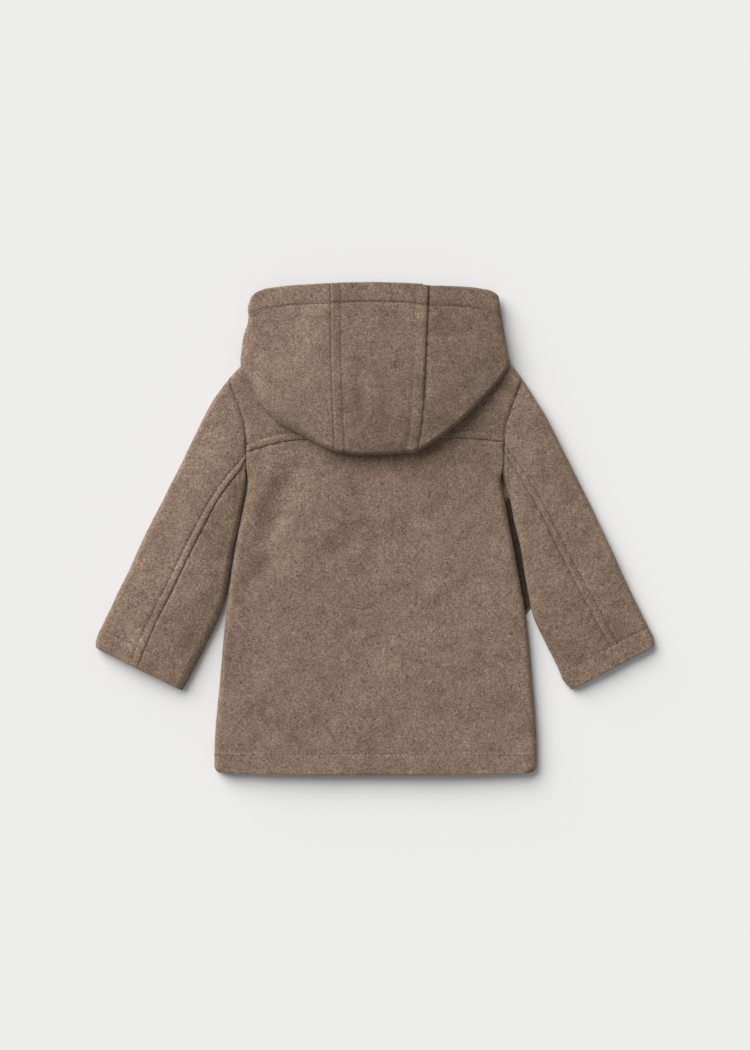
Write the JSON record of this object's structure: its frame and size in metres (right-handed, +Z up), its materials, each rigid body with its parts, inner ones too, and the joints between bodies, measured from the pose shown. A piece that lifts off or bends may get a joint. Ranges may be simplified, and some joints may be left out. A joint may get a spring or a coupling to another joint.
{
  "type": "hooded wool coat laid flat",
  "caption": "Child's hooded wool coat lying flat, back up, with the hood folded down over a shaped yoke and turned, topstitched hems.",
  "frame": {"origin": "on the surface that the coat lies on, under the middle of its bounding box", "axes": "+X towards the wearer's right sleeve, +Y from the hem towards the hood's edge, +Z up, out of the coat's back"},
  "size_m": [0.5882, 0.5178, 0.034],
  "materials": {
    "wool": "brushed felted wool, heathered brown and beige"
  },
  "bodies": {
    "root": {"back_panel": "wool", "back_yoke": "wool", "front_left": "wool", "front_right": "wool", "sleeve_left_top": "wool", "sleeve_left_under": "wool", "sleeve_right_top": "wool", "sleeve_right_under": "wool", "hood_left": "wool", "hood_centre": "wool", "hood_right": "wool", "hood_fold": "wool"}
  },
  "joints": []
}
